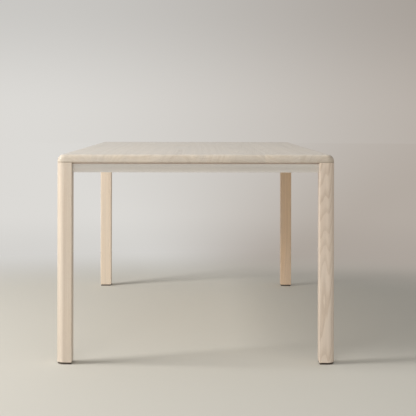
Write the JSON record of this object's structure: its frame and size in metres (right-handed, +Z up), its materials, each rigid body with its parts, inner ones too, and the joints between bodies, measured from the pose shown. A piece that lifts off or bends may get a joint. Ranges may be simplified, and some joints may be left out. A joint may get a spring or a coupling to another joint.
{
  "type": "dining table",
  "caption": "Parsons dining table with a soft-edged plank top, flush square legs, slim set-back aprons and screw-in levelling feet.",
  "frame": {"origin": "on the floor, under the middle of the top, with the feet screwed right in", "axes": "+X along the width, +Y along the length, +Z up"},
  "size_m": [1.016, 1.829, 0.7665],
  "materials": {
    "ash_top": "pale washed ash, matt",
    "ash_leg": "pale washed ash, matt",
    "ash_apron": "pale washed ash, matt",
    "ash_rail": "sawn ash, thinly sealed",
    "zinc_steel": "zinc plated",
    "black_nylon": "moulded, matt"
  },
  "bodies": {
    "table": {"top_board_1": "ash_top", "top_board_2": "ash_top", "top_board_3": "ash_top", "top_board_4": "ash_top", "top_board_5": "ash_top", "top_board_6": "ash_top", "top_board_7": "ash_top", "top_board_8": "ash_top", "leg_front_left": "ash_leg", "leg_front_right": "ash_leg", "leg_rear_right": "ash_leg", "leg_rear_left": "ash_leg", "apron_front": "ash_apron", "apron_rear": "ash_apron", "apron_left": "ash_apron", "apron_right": "ash_apron", "cross_rail_front": "ash_rail", "cross_rail_rear": "ash_rail", "corner_bracket_front_left": "zinc_steel", "corner_bracket_front_right": "zinc_steel", "corner_bracket_rear_right": "zinc_steel", "corner_bracket_rear_left": "zinc_steel", "bracket_screws": "zinc_steel", "hanger_bolts": "zinc_steel", "hanger_bolt_washers": "zinc_steel", "hanger_bolt_nuts": "zinc_steel", "top_clips": "zinc_steel", "top_clip_screws": "zinc_steel", "cross_rail_screws": "zinc_steel", "cross_rail_washers": "zinc_steel", "leg_inserts": "zinc_steel"},
    "pad_front_left": {"foot_pad_front_left": "black_nylon"},
    "stem_front_left": {"foot_stem_front_left": "zinc_steel"},
    "pad_front_right": {"foot_pad_front_right": "black_nylon"},
    "stem_front_right": {"foot_stem_front_right": "zinc_steel"},
    "pad_rear_right": {"foot_pad_rear_right": "black_nylon"},
    "stem_rear_right": {"foot_stem_rear_right": "zinc_steel"},
    "pad_rear_left": {"foot_pad_rear_left": "black_nylon"},
    "stem_rear_left": {"foot_stem_rear_left": "zinc_steel"}
  },
  "joints": [
    {"name": "foot_lift_front_left", "type": "slide", "parent": "table", "child": "pad_front_left", "axis": [0, 0, -1], "range_m": [0, 0.0125]},
    {"name": "foot_screw_front_left", "type": "hinge", "parent": "pad_front_left", "child": "stem_front_left", "pos_m": [-0.48, -0.8865, 0], "axis": [0, 0, -1], "range_deg": [0, 3600]},
    {"name": "foot_lift_front_right", "type": "slide", "parent": "table", "child": "pad_front_right", "axis": [0, 0, -1], "range_m": [0, 0.0125]},
    {"name": "foot_screw_front_right", "type": "hinge", "parent": "pad_front_right", "child": "stem_front_right", "pos_m": [0.48, -0.8865, 0], "axis": [0, 0, -1], "range_deg": [0, 3600]},
    {"name": "foot_lift_rear_right", "type": "slide", "parent": "table", "child": "pad_rear_right", "axis": [0, 0, -1], "range_m": [0, 0.0125]},
    {"name": "foot_screw_rear_right", "type": "hinge", "parent": "pad_rear_right", "child": "stem_rear_right", "pos_m": [0.48, 0.8865, 0], "axis": [0, 0, -1], "range_deg": [0, 3600]},
    {"name": "foot_lift_rear_left", "type": "slide", "parent": "table", "child": "pad_rear_left", "axis": [0, 0, -1], "range_m": [0, 0.0125]},
    {"name": "foot_screw_rear_left", "type": "hinge", "parent": "pad_rear_left", "child": "stem_rear_left", "pos_m": [-0.48, 0.8865, 0], "axis": [0, 0, -1], "range_deg": [0, 3600]}
  ],
  "couplings": [
    {"joint": "foot_lift_front_left", "follows": "foot_screw_front_left", "m_per_rad": 0.00019894},
    {"joint": "foot_lift_front_right", "follows": "foot_screw_front_right", "m_per_rad": 0.00019894},
    {"joint": "foot_lift_rear_right", "follows": "foot_screw_rear_right", "m_per_rad": 0.00019894},
    {"joint": "foot_lift_rear_left", "follows": "foot_screw_rear_left", "m_per_rad": 0.00019894}
  ]
}
